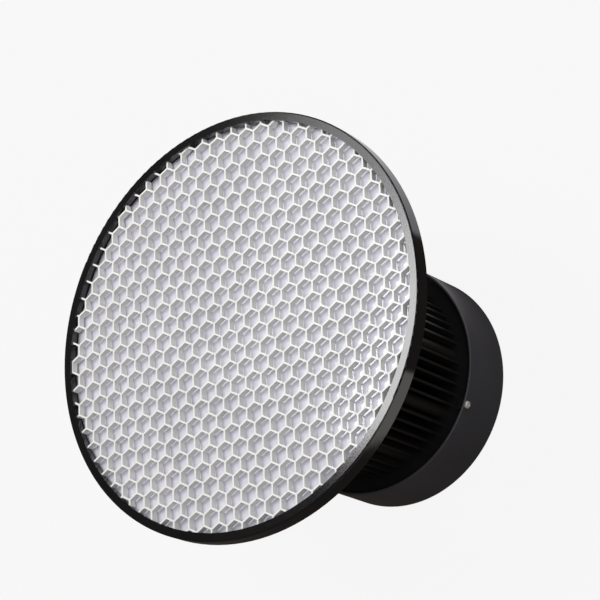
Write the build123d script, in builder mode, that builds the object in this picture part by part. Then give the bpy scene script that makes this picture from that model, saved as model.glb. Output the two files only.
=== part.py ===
"""Round surface-mounted LED luminaire whose front is a honeycomb louvre in a bezel.

Millimetres. The origin is the centre of the canopy's mounting face, and +Z points
out of the lit face: canopy cup, finned heat sink, shallow lamp head, bezel with the
honeycomb. The bezel and its honeycomb turn on bayonet lugs about Z.
"""

import os
from math import hypot, sqrt

from build123d import *

os.makedirs("parts", exist_ok=True)

# ---------------------------------------------------------------- driving dimensions
overall_height = 210.0        # mounting face to bezel face

# Honeycomb louvre: pointy-topped hexagonal cells
cell_pitch = 12.7             # across flats, wall included (half-inch cell)
cell_wall = 1.27
cell_origin = (1.3, -1.9)     # the cell nearest the axis: the sheet is cut off centre
grid_depth = 4.9
grid_setback = 1.65           # walls' front edges behind the bezel face
grid_standoff = 1.9           # air gap between the walls and the diffuser

# Bezel: a channel-shaped ring, open to the rear
bezel_radius = 150.0
bezel_depth = 11.2
bezel_sheet = 1.2
bezel_bore = 143.9            # radius of the clear opening
bezel_edge_round = 1.0
bezel_lip_depth = 4.8         # lip round the opening, which holds the louvre
running_gap = 0.3             # between the turning front and the fixed head

# Diffuser and its seat
diffuser_radius = 145.5
diffuser_sheet = 1.5
gasket_height = 1.0
gasket_inner_radius = 138.5

# Lamp head: a dish under a stepped rim ring that carries the bayonet tabs
pan_sheet = 1.2
pan_floor_thickness = 2.5
pan_radius = 130.0
pan_wall = 2.0
pan_floor_round = 6.0
pan_floor_z = 178.0           # underside of the floor
rim_radius = 147.2
rim_drop = 5.8                # top of the rim below the bezel face
bayonet_count = 4
bayonet_tab_half_angle = 5.0
bayonet_lug_half_angle = 3.0
bayonet_stop_angle = 1.5      # width of the stop block at the closed end of a tab
bayonet_reach = 1.15          # radial depth of tabs and of lugs
bayonet_height = 1.5

# LED board in the dish, with rings of LED packages and a white liner round it
board_radius = 122.0
board_thickness = 1.6
board_screw_circle = 112.0
board_screw_count = 6
led_rings = 6
led_ring_step = 16.0
led_first_ring = 22.0         # radius of the innermost ring, which has six
led_body = (3.0, 3.0, 0.7)
led_dome = (1.2, 0.15)        # radius and height of the phosphor spot
liner_radius = 127.4
liner_sheet = 0.8
lead_spacing = 5.0
lead_radius = 1.2

# Heat sink: straight fins on a hub, every sixth fin place taken by a screw column
fin_places = 60
fins_per_group = 5
fin_tip_radius = 73.7
fin_thickness = 1.8
hub_radius = 27.0
wire_bore_radius = 11.0
column_circle_radius = 66.0
column_radius = 4.8
column_rib_thickness = 2.4
column_phase = -92.7          # angle of the first screw column
thermal_pad_thickness = 0.5

# Canopy cup
canopy_radius = 86.6
canopy_height = 45.0
canopy_wall = 2.0
canopy_back = 2.5
canopy_rim_round = 0.8
canopy_rear_round = 1.2
canopy_fit = 0.3              # radial gap around the mouth plate
mouth_recess = 5.0            # mouth plate below the rim
mouth_plate_thickness = 2.0
ceiling_hole_circle = 140.0   # pitch circle diameter of the ceiling screws
ceiling_hole_radius = 2.6
ceiling_hole_count = 4
cable_hole_radius = 11.0
earth_place = (-48.0, -36.0)

# Side screws that hold the mouth plate in the cup
side_screw_count = 3
side_screw_angle = -84.4
side_screw_drop = 3.2         # screw axis below the rim
side_lug_width = 9.0
side_lug_depth = 3.0
side_lug_height = 4.6

# Driver in the cup
driver_size = (96.0, 36.0, 24.0)
driver_sheet = 1.5
driver_place = (0.0, 38.0)
driver_tab = (8.0, 20.0)      # length and width of the fixing tab at each end
driver_corner = 3.0
driver_board_inset = 4.0
driver_board_thickness = 1.6
spacer_radius = 2.5
spacer_height = 3.0
spacer_inset = (9.0, 8.0)
core_size = (14.0, 20.0, 12.0)
winding_size = (22.0, 18.0, 3.0)
capacitor_radius = 6.0
capacitor_height = 13.0
capacitor_spacing = 64.0

# Mains entry: grommet, terminal block and earth stud
grommet_bore_radius = 4.5
grommet_lip = 3.0
grommet_lip_height = 1.5
grommet_height = 3.0
grommet_recess = 0.3
terminal_place = (0.0, -44.0)
terminal_poles = 3
terminal_pitch = 10.0
terminal_height = 15.0
terminal_width = 18.0
terminal_screw_radius = 2.1
terminal_screw_depth = 7.0
terminal_wire_radius = 1.9
terminal_wire_z = 5.0
earth_stud_length = 14.0
earth_washer_radius = 5.0
earth_washer_sheet = 1.0
earth_nut_radius = 3.5        # across flats, halved
earth_nut_height = 3.2

# ---------------------------------------------------------------- derived levels
bezel_rear_z = overall_height - bezel_depth
grid_front_z = overall_height - grid_setback
grid_rear_z = grid_front_z - grid_depth
diffuser_front_z = grid_rear_z - grid_standoff
diffuser_rear_z = diffuser_front_z - diffuser_sheet
flange_top_z = diffuser_rear_z - gasket_height
flange_z = flange_top_z - pan_sheet
pan_floor_top_z = pan_floor_z + pan_floor_thickness
pan_bore = pan_radius - pan_wall
board_top_z = pan_floor_top_z + board_thickness
bezel_lip_z = overall_height - bezel_lip_depth
bezel_wall_inner_radius = bezel_radius - bezel_sheet
rim_top_z = overall_height - rim_drop
tab_z = rim_top_z - bayonet_height
lug_z = tab_z - running_gap - bayonet_height
heatsink_top_z = pan_floor_z - thermal_pad_thickness
mouth_plate_top_z = canopy_height - mouth_recess
mouth_plate_z = mouth_plate_top_z - mouth_plate_thickness
canopy_bore = canopy_radius - canopy_wall
mouth_plate_radius = canopy_bore - canopy_fit
side_screw_z = canopy_height - side_screw_drop
column_count = fin_places // (fins_per_group + 1)
column_angles = [column_phase + 360 / column_count * n for n in range(column_count)]

BOTTOM = (Align.CENTER, Align.CENTER, Align.MIN)
TOP = (Align.CENTER, Align.CENTER, Align.MAX)

# Screws, as radius of shank, radius of head and height of head
M3 = {"shank": 1.45, "head": 2.75, "head_height": 1.9}
M4 = {"shank": 1.95, "head": 3.8, "head_height": 2.4}
SCREW_CLEARANCE = 0.05


# ---------------------------------------------------------------- shared shapes
def save(builder, name):
    """Label a finished piece and write it as its own STEP file."""
    builder.part.label = name
    export_step(builder.part, f"parts/{name}.step")


def ring_sector(inner_radius, outer_radius, middle, half):
    """Flat sector of a ring, centred on the angle middle, in degrees."""
    with BuildSketch() as sector:
        with BuildLine():
            outer = CenterArc((0, 0), outer_radius, middle - half, 2 * half)
            inner = CenterArc((0, 0), inner_radius, middle - half, 2 * half)
            Line(outer @ 0, inner @ 0)
            Line(outer @ 1, inner @ 1)
        make_face()
    return sector.sketch


def pan_screw(size, length):
    """Cross-recessed pan-head screw along Z, its head's underside at z = 0."""
    head, height = size["head"], size["head_height"]
    with BuildPart() as screw:
        Cylinder(head, height, align=BOTTOM)
        fillet(screw.edges().group_by(Axis.Z)[-1], height * 0.55)
        Cylinder(size["shank"], length, align=TOP)
        chamfer(screw.edges().group_by(Axis.Z)[0], size["shank"] * 0.3)
        with Locations((0, 0, height)):
            Box(head, head * 0.24, height, mode=Mode.SUBTRACT)
            Box(head * 0.24, head, height, mode=Mode.SUBTRACT)
    return screw.part


def flat_screw(size, length):
    """Cross-recessed countersunk screw along Z, its head flush with z = 0."""
    with BuildPart() as screw:
        Cone(size["shank"], size["head"], size["head_height"], align=TOP)
        Cylinder(size["shank"], length, align=TOP)
        Box(size["head"], size["head"] * 0.22, size["head_height"], mode=Mode.SUBTRACT)
        Box(size["head"] * 0.22, size["head"], size["head_height"], mode=Mode.SUBTRACT)
    return screw.part


def cell_centres(reach):
    """Centres of the hexagonal cells whose centres lie within reach of cell_origin."""
    row_step = cell_pitch * sqrt(3) / 2
    rows = int(reach / row_step) + 1
    columns = int(reach / cell_pitch) + rows
    centres = []
    for row in range(-rows, rows + 1):
        for column in range(-columns, columns + 1):
            x = cell_pitch * (column + row / 2)
            y = row_step * row
            if hypot(x, y) < reach:
                centres.append((x + cell_origin[0], y + cell_origin[1]))
    return centres


# ---------------------------------------------------------------- turning front
with BuildPart() as bezel_ring:
    with BuildSketch(Plane.XZ) as channel:
        with BuildLine():
            Polyline(
                (bezel_bore, bezel_lip_z),
                (bezel_bore, overall_height),
                (bezel_radius, overall_height),
                (bezel_radius, bezel_rear_z),
                (bezel_wall_inner_radius, bezel_rear_z),
                (bezel_wall_inner_radius, overall_height - bezel_sheet),
                (bezel_bore + bezel_sheet, overall_height - bezel_sheet),
                (bezel_bore + bezel_sheet, bezel_lip_z),
                close=True,
            )
        make_face()
    revolve(axis=Axis.Z)
    face_edges = bezel_ring.edges().filter_by(GeomType.CIRCLE).group_by(Axis.Z)[-1]
    fillet(face_edges.sort_by(SortBy.RADIUS)[-1], bezel_edge_round)
    with BuildSketch(Plane.XY.offset(lug_z)) as lugs:
        for quarter in range(bayonet_count):
            add(
                ring_sector(
                    bezel_wall_inner_radius - bayonet_reach,
                    bezel_wall_inner_radius + bezel_sheet / 2,
                    360 / bayonet_count * quarter,
                    bayonet_lug_half_angle,
                )
            )
    extrude(amount=bayonet_height)
save(bezel_ring, "bezel_ring")

with BuildPart() as honeycomb_grid:
    with BuildSketch(Plane.XY.offset(grid_rear_z)) as walls:
        Circle(bezel_bore)
        with Locations(*cell_centres(bezel_bore + 2 * cell_pitch)):
            RegularPolygon(
                (cell_pitch - cell_wall) / 2,
                6,
                major_radius=False,
                rotation=30,
                mode=Mode.SUBTRACT,
            )
    extrude(walls.sketch.faces().sort_by(SortBy.AREA)[-1], amount=grid_depth)
save(honeycomb_grid, "honeycomb_grid")

# ---------------------------------------------------------------- lamp head
with BuildPart() as diffuser_panel:
    with BuildSketch(Plane.XY.offset(diffuser_rear_z)):
        Circle(diffuser_radius)
    extrude(amount=diffuser_sheet)
save(diffuser_panel, "diffuser_panel")

with BuildPart() as diffuser_gasket:
    with BuildSketch(Plane.XY.offset(flange_top_z)):
        Circle(diffuser_radius)
        Circle(gasket_inner_radius, mode=Mode.SUBTRACT)
    extrude(amount=gasket_height)
save(diffuser_gasket, "diffuser_gasket")

with BuildPart() as pan_rim:
    with BuildSketch(Plane.XZ):
        with BuildLine():
            Polyline(
                (pan_bore, flange_z),
                (rim_radius, flange_z),
                (rim_radius, rim_top_z),
                (rim_radius - pan_sheet, rim_top_z),
                (rim_radius - pan_sheet, flange_top_z),
                (pan_bore, flange_top_z),
                close=True,
            )
        make_face()
    revolve(axis=Axis.Z)
    tab_places = [360 / bayonet_count * n for n in range(bayonet_count)]
    with BuildSketch(Plane.XY.offset(tab_z)):
        for angle in tab_places:
            add(
                ring_sector(
                    rim_radius - pan_sheet / 2,
                    rim_radius + bayonet_reach,
                    angle,
                    bayonet_tab_half_angle,
                )
            )
    extrude(amount=bayonet_height)
    stop_middle = bayonet_tab_half_angle - bayonet_stop_angle / 2
    with BuildSketch(Plane.XY.offset(lug_z)):
        for angle in tab_places:
            add(
                ring_sector(
                    rim_radius - pan_sheet / 2,
                    rim_radius + bayonet_reach,
                    angle - stop_middle,
                    bayonet_stop_angle / 2,
                )
            )
    extrude(amount=tab_z - lug_z)
save(pan_rim, "pan_rim")

with BuildPart() as head_pan:
    with Locations((0, 0, pan_floor_z)):
        Cylinder(pan_radius, flange_z - pan_floor_z, align=BOTTOM)
    fillet(head_pan.edges().group_by(Axis.Z)[0], pan_floor_round)
    with Locations((0, 0, pan_floor_top_z)):
        Cylinder(pan_bore, flange_z - pan_floor_top_z, align=BOTTOM, mode=Mode.SUBTRACT)
    with Locations((0, 0, pan_floor_z)):
        Cylinder(
            wire_bore_radius,
            pan_floor_thickness,
            align=BOTTOM,
            mode=Mode.SUBTRACT,
        )
        with PolarLocations(board_screw_circle, board_screw_count):
            Cylinder(
                M3["shank"] + SCREW_CLEARANCE,
                pan_floor_thickness,
                align=BOTTOM,
                mode=Mode.SUBTRACT,
            )
    with Locations((0, 0, pan_floor_top_z)):
        with PolarLocations(column_circle_radius, column_count, column_phase):
            Cone(
                M4["shank"] + SCREW_CLEARANCE,
                M4["head"] + SCREW_CLEARANCE,
                M4["head_height"],
                align=TOP,
                mode=Mode.SUBTRACT,
            )
            Cylinder(
                M4["shank"] + SCREW_CLEARANCE,
                pan_floor_thickness,
                align=TOP,
                mode=Mode.SUBTRACT,
            )
save(head_pan, "head_pan")

with BuildPart() as head_screws:
    with Locations((0, 0, pan_floor_top_z)):
        with PolarLocations(column_circle_radius, column_count, column_phase):
            add(flat_screw(M4, 14))
save(head_screws, "head_screws")

with BuildPart() as led_board:
    with BuildSketch(Plane.XY.offset(pan_floor_top_z)):
        Circle(board_radius)
        with PolarLocations(board_screw_circle, board_screw_count):
            Circle(M3["shank"] + SCREW_CLEARANCE, mode=Mode.SUBTRACT)
        Circle(wire_bore_radius - 3, mode=Mode.SUBTRACT)
    extrude(amount=board_thickness)
save(led_board, "led_board")

with BuildPart() as led_board_screws:
    with Locations((0, 0, board_top_z)):
        with PolarLocations(board_screw_circle, board_screw_count):
            add(pan_screw(M3, 5))
save(led_board_screws, "led_board_screws")

with BuildPart() as led_packages:
    with Locations((0, 0, board_top_z)):
        for ring in range(led_rings):
            ring_radius = led_first_ring + led_ring_step * ring
            with PolarLocations(ring_radius, 6 * (ring + 1), 15):
                Box(*led_body, align=BOTTOM)
                with Locations((0, 0, led_body[2])):
                    Cylinder(*led_dome, align=BOTTOM)
save(led_packages, "led_packages")

with BuildPart() as reflector_liner:
    with Locations((0, 0, pan_floor_top_z)):
        Cylinder(liner_radius, flange_top_z - pan_floor_top_z, align=BOTTOM)
        Cylinder(
            liner_radius - liner_sheet,
            flange_top_z - pan_floor_top_z,
            align=BOTTOM,
            mode=Mode.SUBTRACT,
        )
save(reflector_liner, "reflector_liner")

# ---------------------------------------------------------------- heat sink
with BuildPart() as thermal_pad:
    with BuildSketch(Plane.XY.offset(heatsink_top_z)):
        Circle(fin_tip_radius)
        Circle(wire_bore_radius, mode=Mode.SUBTRACT)
        with PolarLocations(column_circle_radius, column_count, column_phase):
            Circle(M4["shank"] + 0.3, mode=Mode.SUBTRACT)
    extrude(amount=thermal_pad_thickness)
save(thermal_pad, "thermal_pad")

fin_step = 360 / fin_places
fin_angles = [
    column_phase + fin_step * place
    for place in range(fin_places)
    if place % (fins_per_group + 1)
]
fin_length = fin_tip_radius - hub_radius + 2

with BuildPart() as heatsink:
    with BuildSketch(Plane.XY.offset(mouth_plate_top_z)) as fin_section:
        Circle(hub_radius)
        for angle in fin_angles:
            with PolarLocations(fin_tip_radius - fin_length / 2, 1, angle):
                Rectangle(fin_length, fin_thickness)
        for angle in column_angles:
            with PolarLocations((hub_radius + column_circle_radius) / 2, 1, angle):
                Rectangle(column_circle_radius - hub_radius + 2, column_rib_thickness)
            with PolarLocations(column_circle_radius, 1, angle):
                Circle(column_radius)
                Circle(M4["shank"] + SCREW_CLEARANCE, mode=Mode.SUBTRACT)
        Circle(wire_bore_radius, mode=Mode.SUBTRACT)
    extrude(amount=heatsink_top_z - mouth_plate_top_z)
save(heatsink, "heatsink")

# ---------------------------------------------------------------- canopy
driver_fixing_spacing = driver_size[0] + driver_tab[0]

with BuildPart() as canopy_shell:
    with BuildSketch(Plane.XY):
        Circle(canopy_radius)
    extrude(amount=canopy_height)
    with BuildSketch(Plane.XY.offset(canopy_back)):
        Circle(canopy_bore)
    extrude(amount=canopy_height, mode=Mode.SUBTRACT)
    rim_edges = canopy_shell.edges().filter_by(GeomType.CIRCLE).group_by(Axis.Z)
    fillet(rim_edges[-1], canopy_rim_round)
    fillet(rim_edges[0], canopy_rear_round)
    with PolarLocations(ceiling_hole_circle / 2, ceiling_hole_count):
        Hole(ceiling_hole_radius, depth=canopy_height)
    Cylinder(cable_hole_radius, canopy_height, mode=Mode.SUBTRACT)
    with Locations(earth_place):
        Cylinder(M4["shank"] + SCREW_CLEARANCE, canopy_height, mode=Mode.SUBTRACT)
    with Locations(driver_place):
        with GridLocations(driver_fixing_spacing, 1, 2, 1):
            Cylinder(M3["shank"] + SCREW_CLEARANCE, canopy_height, mode=Mode.SUBTRACT)
    with Locations((0, 0, side_screw_z)):
        with PolarLocations(canopy_radius, side_screw_count, side_screw_angle):
            Cylinder(
                M3["shank"] + SCREW_CLEARANCE,
                3 * canopy_wall,
                rotation=(0, 90, 0),
                mode=Mode.SUBTRACT,
            )
save(canopy_shell, "canopy_shell")

with BuildPart() as mouth_plate:
    with BuildSketch(Plane.XY.offset(mouth_plate_z)):
        Circle(mouth_plate_radius)
        Circle(wire_bore_radius, mode=Mode.SUBTRACT)
        with PolarLocations(column_circle_radius, column_count, column_phase):
            Circle(M4["shank"] + SCREW_CLEARANCE, mode=Mode.SUBTRACT)
    extrude(amount=mouth_plate_thickness)
    with BuildSketch(Plane.XY.offset(mouth_plate_top_z)):
        with PolarLocations(
            mouth_plate_radius - side_lug_depth / 2 - 0.1,
            side_screw_count,
            side_screw_angle,
        ):
            Rectangle(side_lug_depth, side_lug_width)
    extrude(amount=side_lug_height)
    with Locations((0, 0, side_screw_z)):
        with PolarLocations(mouth_plate_radius, side_screw_count, side_screw_angle):
            Cylinder(
                M3["shank"] + SCREW_CLEARANCE,
                4 * side_lug_depth,
                rotation=(0, 90, 0),
                mode=Mode.SUBTRACT,
            )
save(mouth_plate, "mouth_plate")

with BuildPart() as canopy_side_screws:
    with Locations((0, 0, side_screw_z)):
        with PolarLocations(canopy_radius, side_screw_count, side_screw_angle):
            add(pan_screw(M3, 6), rotation=(0, 90, 0))
save(canopy_side_screws, "canopy_side_screws")

with BuildPart() as heatsink_screws:
    with Locations((0, 0, mouth_plate_z)):
        with PolarLocations(column_circle_radius, column_count // 2, column_phase):
            add(pan_screw(M4, 14), rotation=(180, 0, 0))
save(heatsink_screws, "heatsink_screws")

# ---------------------------------------------------------------- wiring and driver
grommet_neck_radius = cable_hole_radius - SCREW_CLEARANCE

with BuildPart() as cable_grommet:
    with BuildSketch(Plane.XZ):
        with BuildLine():
            Polyline(
                (grommet_bore_radius, grommet_recess),
                (grommet_neck_radius, grommet_recess),
                (grommet_neck_radius, canopy_back),
                (cable_hole_radius + grommet_lip, canopy_back),
                (cable_hole_radius + grommet_lip, canopy_back + grommet_lip_height),
                (cable_hole_radius - grommet_lip, canopy_back + grommet_height),
                (grommet_bore_radius, canopy_back + grommet_height),
                close=True,
            )
        make_face()
    revolve(axis=Axis.Z)
save(cable_grommet, "cable_grommet")

driver_length, driver_width, driver_height = driver_size
driver_floor_z = canopy_back
driver_top_z = driver_floor_z + driver_height

with BuildPart() as driver_case:
    with BuildSketch(Plane.XY.offset(driver_floor_z)):
        with Locations(driver_place):
            RectangleRounded(driver_length, driver_width, driver_corner)
    extrude(amount=driver_height - driver_sheet)
    with BuildSketch(Plane.XY.offset(driver_floor_z + driver_sheet)):
        with Locations(driver_place):
            Rectangle(driver_length - 2 * driver_sheet, driver_width - 2 * driver_sheet)
    extrude(amount=driver_height, mode=Mode.SUBTRACT)
    with BuildSketch(Plane.XY.offset(driver_floor_z)):
        with Locations(driver_place):
            with GridLocations(driver_fixing_spacing, 1, 2, 1):
                Rectangle(*driver_tab)
                Circle(M3["shank"] + SCREW_CLEARANCE, mode=Mode.SUBTRACT)
    extrude(amount=driver_sheet)
save(driver_case, "driver_case")

with BuildPart() as driver_lid:
    with BuildSketch(Plane.XY.offset(driver_top_z - driver_sheet)):
        with Locations(driver_place):
            RectangleRounded(driver_length, driver_width, driver_corner)
    extrude(amount=driver_sheet)
save(driver_lid, "driver_lid")

with BuildPart() as driver_screws:
    with Locations((*driver_place, driver_floor_z + driver_sheet)):
        with GridLocations(driver_fixing_spacing, 1, 2, 1):
            add(pan_screw(M3, 3.6))
save(driver_screws, "driver_screws")

board_z = driver_floor_z + driver_sheet + spacer_height
parts_z = board_z + driver_board_thickness

with BuildPart() as driver_board:
    with BuildSketch(Plane.XY.offset(board_z)):
        with Locations(driver_place):
            Rectangle(
                driver_length - 2 * driver_board_inset,
                driver_width - 2 * driver_board_inset,
            )
    extrude(amount=driver_board_thickness)
save(driver_board, "driver_board")

with BuildPart() as driver_board_spacers:
    with Locations((*driver_place, driver_floor_z + driver_sheet)):
        with GridLocations(
            driver_length - 2 * spacer_inset[0],
            driver_width - 2 * spacer_inset[1],
            2,
            2,
        ):
            Cylinder(spacer_radius, spacer_height, align=BOTTOM)
save(driver_board_spacers, "driver_board_spacers")

with BuildPart() as driver_transformer:
    with Locations((*driver_place, parts_z)):
        Box(*winding_size, align=BOTTOM)
        Box(*core_size, align=BOTTOM)
save(driver_transformer, "driver_transformer")

with BuildPart() as driver_capacitors:
    with Locations((*driver_place, parts_z)):
        with GridLocations(capacitor_spacing, 1, 2, 1):
            Cylinder(capacitor_radius, capacitor_height, align=BOTTOM)
    fillet(driver_capacitors.edges().group_by(Axis.Z)[-1], 1)
save(driver_capacitors, "driver_capacitors")

with BuildPart() as terminal_block:
    with BuildSketch(Plane.XY.offset(canopy_back)):
        with Locations(terminal_place):
            Rectangle(terminal_poles * terminal_pitch, terminal_width)
    extrude(amount=terminal_height)
    with Locations((*terminal_place, canopy_back + terminal_height)):
        with GridLocations(terminal_pitch, terminal_width / 2, terminal_poles, 2):
            Hole(terminal_screw_radius + SCREW_CLEARANCE, depth=terminal_screw_depth)
    with Locations((*terminal_place, canopy_back + terminal_wire_z)):
        with GridLocations(terminal_pitch, terminal_width, terminal_poles, 1):
            Cylinder(
                terminal_wire_radius,
                terminal_width,
                rotation=(90, 0, 0),
                mode=Mode.SUBTRACT,
            )
save(terminal_block, "terminal_block")

with BuildPart() as terminal_screws:
    with Locations((*terminal_place, canopy_back + terminal_height - terminal_screw_depth)):
        with GridLocations(terminal_pitch, terminal_width / 2, terminal_poles, 2):
            Cylinder(terminal_screw_radius, 3, align=BOTTOM)
            with Locations((0, 0, 3)):
                Box(4, 0.6, 1, align=TOP, mode=Mode.SUBTRACT)
save(terminal_screws, "terminal_screws")

with BuildPart() as earth_stud:
    with Locations((*earth_place, 0.4)):
        Cylinder(M4["shank"], earth_stud_length, align=BOTTOM)
        chamfer(earth_stud.edges().group_by(Axis.Z)[-1], 0.5)
save(earth_stud, "earth_stud")

with BuildPart() as earth_nut:
    with BuildSketch(Plane.XY.offset(canopy_back + earth_washer_sheet)):
        with Locations(earth_place):
            RegularPolygon(earth_nut_radius, 6, major_radius=False)
            Circle(M4["shank"] + SCREW_CLEARANCE, mode=Mode.SUBTRACT)
    extrude(amount=earth_nut_height)
save(earth_nut, "earth_nut")

with BuildPart() as earth_washer:
    with BuildSketch(Plane.XY.offset(canopy_back)):
        with Locations(earth_place):
            Circle(earth_washer_radius)
            Circle(M4["shank"] + SCREW_CLEARANCE, mode=Mode.SUBTRACT)
    extrude(amount=earth_washer_sheet)
save(earth_washer, "earth_washer")

lead_height = board_top_z - mouth_plate_top_z

with BuildPart() as led_leads:
    with Locations((0, 0, mouth_plate_top_z)):
        with PolarLocations(lead_spacing / 2, 2):
            Cylinder(lead_radius, lead_height, align=BOTTOM)
save(led_leads, "led_leads")
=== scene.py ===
"""Looks of the round luminaire with a honeycomb louvre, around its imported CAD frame.

Metres, in the CAD frame: origin at the centre of the canopy's mounting face, +Z out
of the lit face. The CAD nodes keep their shapes and get procedural materials here.
"""

import math

import bpy
from mathutils import Matrix, Vector

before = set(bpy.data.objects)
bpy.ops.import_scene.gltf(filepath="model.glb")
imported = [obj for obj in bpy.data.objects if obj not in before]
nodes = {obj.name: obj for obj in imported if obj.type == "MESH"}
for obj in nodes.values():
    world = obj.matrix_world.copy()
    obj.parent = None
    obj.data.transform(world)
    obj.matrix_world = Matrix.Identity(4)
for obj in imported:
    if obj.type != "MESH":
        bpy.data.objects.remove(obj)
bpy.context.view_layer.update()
scene = bpy.context.scene

# Camera: where it stands, the point it looks at, its roll and its lens
CAMERA_AT = Vector((0.0034, -1.1100, 1.4985))
CAMERA_AIM = Vector((0.0311, -0.0475, 0.2100))
CAMERA_ROLL = math.radians(-66.816)
CAMERA_LENS = 150.73          # millimetres
CAMERA_SENSOR = 36.0          # width in millimetres
CAMERA_REACH = 200.0          # metres, past the edge of the floor

# Floor: just below the canopy's back, so that the two faces don't coincide
FLOOR_Z = -0.0005
FLOOR_RADIUS = 40.0
FLOOR_CORNERS = 64
FLOOR_BASE = 0.03
FLOOR_GLOW = 0.905

# Surroundings
STUDIO_COLOUR = (1.0, 0.86, 0.78, 1)
STUDIO_STRENGTH = 0.07

# What every surface shares: its slow colour drift and its fine grain
DRIFT_SCALE = 25
DRIFT_START = 0.3
DRIFT_END = 0.7
GRAIN_DETAIL = 3.0
GRAIN_OVER_DEPTH = 3          # width of a grain over the depth of its relief

# Each material's name, the two ends of its colour drift, least and most roughness,
# grain size in metres, what else sets it apart, and the CAD nodes that wear it
SURFACES = [
    ("bezel black", (0.004, 0.004, 0.0045), (0.007, 0.007, 0.0075), (0.06, 0.11), 0.0006,
     {"relief": 0.08, "specular": 0.65},
     ["bezel_ring"]),
    ("cup black", (0.058, 0.058, 0.065), (0.068, 0.068, 0.076), (0.34, 0.44), 0.0005,
     {"relief": 0.15},
     ["canopy_shell"]),
    ("pan black", (0.006, 0.006, 0.006), (0.009, 0.009, 0.009), (0.38, 0.48), 0.0005,
     {"relief": 0.15},
     ["mouth_plate", "head_pan", "pan_rim"]),
    ("fin black", (0.012, 0.011, 0.010), (0.018, 0.016, 0.015), (0.35, 0.5), 0.0008,
     {"specular": 0.3},
     ["heatsink"]),
    ("louvre white", (0.71, 0.705, 0.68), (0.75, 0.745, 0.72), (0.24, 0.36), 0.0005,
     {"relief": 0.03, "specular": 0.4},
     ["honeycomb_grid"]),
    ("diffuser opal", (0.635, 0.635, 0.70), (0.665, 0.665, 0.73), (0.04, 0.08), 0.0009,
     {"relief": 0.01},
     ["diffuser_panel"]),
    ("screw steel", (0.80, 0.79, 0.78), (0.90, 0.89, 0.88), (0.22, 0.36), 0.0004,
     {"metallic": 0.45},
     ["canopy_side_screws", "head_screws", "led_board_screws", "driver_screws",
      "earth_washer"]),
    ("screw black", (0.02, 0.02, 0.02), (0.03, 0.03, 0.03), (0.3, 0.45), 0.0004,
     {},
     ["heatsink_screws"]),
    ("silicone grey", (0.55, 0.55, 0.55), (0.65, 0.65, 0.65), (0.5, 0.65), 0.0006,
     {},
     ["diffuser_gasket"]),
    ("rubber black", (0.02, 0.02, 0.02), (0.03, 0.03, 0.03), (0.6, 0.75), 0.0006,
     {},
     ["cable_grommet"]),
    ("board white", (0.75, 0.75, 0.73), (0.82, 0.82, 0.8), (0.35, 0.5), 0.0008,
     {},
     ["led_board", "reflector_liner"]),
    ("phosphor yellow", (0.75, 0.6, 0.12), (0.85, 0.7, 0.2), (0.3, 0.4), 0.0005,
     {},
     ["led_packages"]),
    ("thermal grey", (0.35, 0.37, 0.4), (0.42, 0.44, 0.47), (0.6, 0.75), 0.0008,
     {},
     ["thermal_pad"]),
    ("case ivory", (0.7, 0.69, 0.65), (0.76, 0.75, 0.71), (0.4, 0.55), 0.0006,
     {},
     ["driver_case", "driver_lid", "driver_board_spacers", "terminal_block"]),
    ("board green", (0.02, 0.16, 0.05), (0.03, 0.22, 0.07), (0.3, 0.45), 0.001,
     {},
     ["driver_board"]),
    ("component dark", (0.05, 0.05, 0.06), (0.09, 0.09, 0.1), (0.35, 0.5), 0.0006,
     {},
     ["driver_transformer", "driver_capacitors"]),
    ("brass", (0.62, 0.45, 0.18), (0.72, 0.55, 0.25), (0.2, 0.35), 0.0005,
     {"metallic": 1.0},
     ["terminal_screws", "earth_stud", "earth_nut"]),
    ("lead red", (0.45, 0.03, 0.02), (0.55, 0.05, 0.04), (0.4, 0.5), 0.0006,
     {},
     ["led_leads"]),
]

# Each softbox's name, place, aim, size, radiance and colour. The overhead pair is what
# the bezel's face and the diffuser mirror; the low cards are what the bezel's side mirrors.
SOFTBOXES = [
    ("overhead", (0.20, 0.475, 1.81), (0.20, 0.475, 0.0), (0.60, 1.35),
     10.5, (1, 1, 1)),
    ("overhead edge", (0.20, 1.29, 1.81), (0.20, 1.29, 0.0), (0.60, 0.28),
     3.2, (1, 1, 1)),
    ("camera side fill", (0.2, -1.6, 1.9), (0.0, 0.0, 0.2), (2.4, 1.6),
     1.6, (0.98, 0.98, 1.0)),
    ("side fill", (1.9, -0.4, 1.2), (0.0, 0.0, 0.2), (1.6, 1.4),
     1.4, (0.98, 0.98, 1.0)),
    ("low card right", (0.28, 0.08, 0.01), (0.28, 0.08, 1.0), (0.36, 0.40),
     0.8, (0.96, 0.94, 1.0)),
    ("low card front", (-0.14, -0.40, 0.01), (-0.14, -0.40, 1.0), (0.36, 0.26),
     0.9, (1.0, 0.97, 0.95)),
]


# ------------------------------------------------------------------ node helpers
def new_material(name):
    """A material with only a Principled shader and its output."""
    material = bpy.data.materials.new(name)
    material.use_nodes = True
    tree = material.node_tree
    tree.nodes.clear()
    shader = tree.nodes.new("ShaderNodeBsdfPrincipled")
    output = tree.nodes.new("ShaderNodeOutputMaterial")
    tree.links.new(shader.outputs["BSDF"], output.inputs["Surface"])
    return material, tree, shader


def noise(tree, scale, detail=2.0):
    """Noise in object space, as a 0 to 1 value."""
    place = tree.nodes.new("ShaderNodeTexCoord")
    texture = tree.nodes.new("ShaderNodeTexNoise")
    texture.inputs["Scale"].default_value = scale
    texture.inputs["Detail"].default_value = detail
    tree.links.new(place.outputs["Object"], texture.inputs["Vector"])
    return texture.outputs["Fac"]


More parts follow.
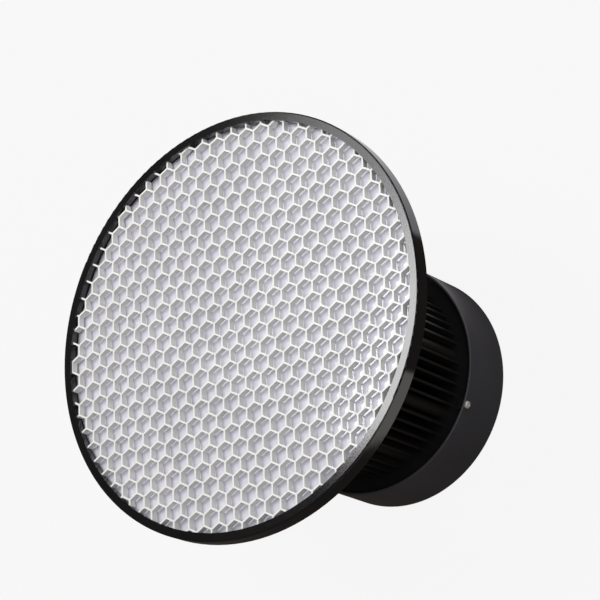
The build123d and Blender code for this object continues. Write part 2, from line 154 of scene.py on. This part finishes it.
def ramp(tree, value, low, high, start, end):
    """Colour ramp from low at start to high at end."""
    node = tree.nodes.new("ShaderNodeValToRGB")
    node.color_ramp.elements[0].position = start
    node.color_ramp.elements[0].color = (*low, 1)
    node.color_ramp.elements[1].position = end
    node.color_ramp.elements[1].color = (*high, 1)
    tree.links.new(value, node.inputs["Fac"])
    return node.outputs["Color"]


def spread(tree, value, low, high):
    """The value stretched from 0..1 to low..high."""
    node = tree.nodes.new("ShaderNodeMapRange")
    node.inputs["To Min"].default_value = low
    node.inputs["To Max"].default_value = high
    tree.links.new(value, node.inputs["Value"])
    return node.outputs["Result"]


def bump(tree, shader, height, strength, distance):
    """Surface relief from a height value."""
    node = tree.nodes.new("ShaderNodeBump")
    node.inputs["Strength"].default_value = strength
    node.inputs["Distance"].default_value = distance
    tree.links.new(height, node.inputs["Height"])
    tree.links.new(node.outputs["Normal"], shader.inputs["Normal"])


# ------------------------------------------------------------------ materials
def surface(name, low, high, rough, grain, relief=0.1, metallic=0.0, specular=0.5):
    """Moulded, painted or metal surface: slow colour drift, uneven gloss, fine relief."""
    material, tree, shader = new_material(name)
    drift = ramp(tree, noise(tree, DRIFT_SCALE), low, high, DRIFT_START, DRIFT_END)
    tree.links.new(drift, shader.inputs["Base Color"])
    fine = noise(tree, 1 / grain, GRAIN_DETAIL)
    tree.links.new(spread(tree, fine, *rough), shader.inputs["Roughness"])
    shader.inputs["Metallic"].default_value = metallic
    shader.inputs["Specular IOR Level"].default_value = specular
    bump(tree, shader, fine, relief, grain / GRAIN_OVER_DEPTH)
    return material


def dress(material, names):
    """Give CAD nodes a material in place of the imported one."""
    for name in names:
        data = nodes[name].data
        data.materials.clear()
        data.materials.append(material)


def glow(name, base, radiance):
    """Matt, nearly black and evenly glowing, so that it looks pale and hardly takes shadows."""
    material, tree, shader = new_material(name)
    shader.inputs["Base Color"].default_value = (base, base, base, 1)
    shader.inputs["Roughness"].default_value = 1.0
    shader.inputs["Specular IOR Level"].default_value = 0.0
    shader.inputs["Emission Color"].default_value = (1, 1, 1, 1)
    shader.inputs["Emission Strength"].default_value = radiance
    return material


# ------------------------------------------------------------------ stage and lights
def stage_disc(name, radius, z, corners):
    """Large flat floor."""
    mesh = bpy.data.meshes.new(name)
    points = []
    for n in range(corners):
        angle = 2 * math.pi * n / corners
        points.append((radius * math.cos(angle), radius * math.sin(angle), z))
    mesh.from_pydata(points, [], [tuple(range(corners))])
    obj = bpy.data.objects.new(name, mesh)
    scene.collection.objects.link(obj)
    return obj


def surround(name, colour, strength):
    """Even light from all round."""
    world = bpy.data.worlds.new(name)
    scene.world = world
    world.use_nodes = True
    background = world.node_tree.nodes["Background"]
    background.inputs["Color"].default_value = colour
    background.inputs["Strength"].default_value = strength


def softbox(name, at, aim, size, radiance, colour):
    """Rectangular area light of a given radiance, facing its aim point."""
    data = bpy.data.lights.new(name, "AREA")
    data.shape = "RECTANGLE"
    data.size, data.size_y = size
    data.energy = radiance * size[0] * size[1] * math.pi
    data.color = colour
    obj = bpy.data.objects.new(name, data)
    scene.collection.objects.link(obj)
    turn = (Vector(aim) - Vector(at)).to_track_quat("-Z", "Y").to_matrix().to_4x4()
    obj.matrix_world = Matrix.Translation(at) @ turn
    obj.visible_camera = False


def place_camera():
    """Camera above the lit face and to its -Y side, rolled about its own line of sight."""
    data = bpy.data.cameras.new("camera")
    data.lens = CAMERA_LENS
    data.sensor_width = CAMERA_SENSOR
    data.clip_end = CAMERA_REACH
    obj = bpy.data.objects.new("camera", data)
    scene.collection.objects.link(obj)
    look = (CAMERA_AIM - CAMERA_AT).normalized()
    turn = look.to_track_quat("-Z", "Y").to_matrix()
    roll = Matrix.Rotation(CAMERA_ROLL, 3, "Z")
    obj.matrix_world = Matrix.Translation(CAMERA_AT) @ (turn @ roll).to_4x4()
    scene.camera = obj


# ------------------------------------------------------------------ the scene
for name, start_colour, end_colour, rough, grain, rest, names in SURFACES:
    dress(surface(name, start_colour, end_colour, rough, grain, **rest), names)

floor = stage_disc("floor", FLOOR_RADIUS, FLOOR_Z, FLOOR_CORNERS)
floor.data.materials.append(glow("floor pale", FLOOR_BASE, FLOOR_GLOW))
floor.visible_glossy = False
floor.visible_diffuse = False
floor.visible_shadow = False

surround("studio", STUDIO_COLOUR, STUDIO_STRENGTH)
for row in SOFTBOXES:
    softbox(*row)

place_camera()
scene.view_settings.view_transform = "Standard"
scene.view_settings.look = "None"
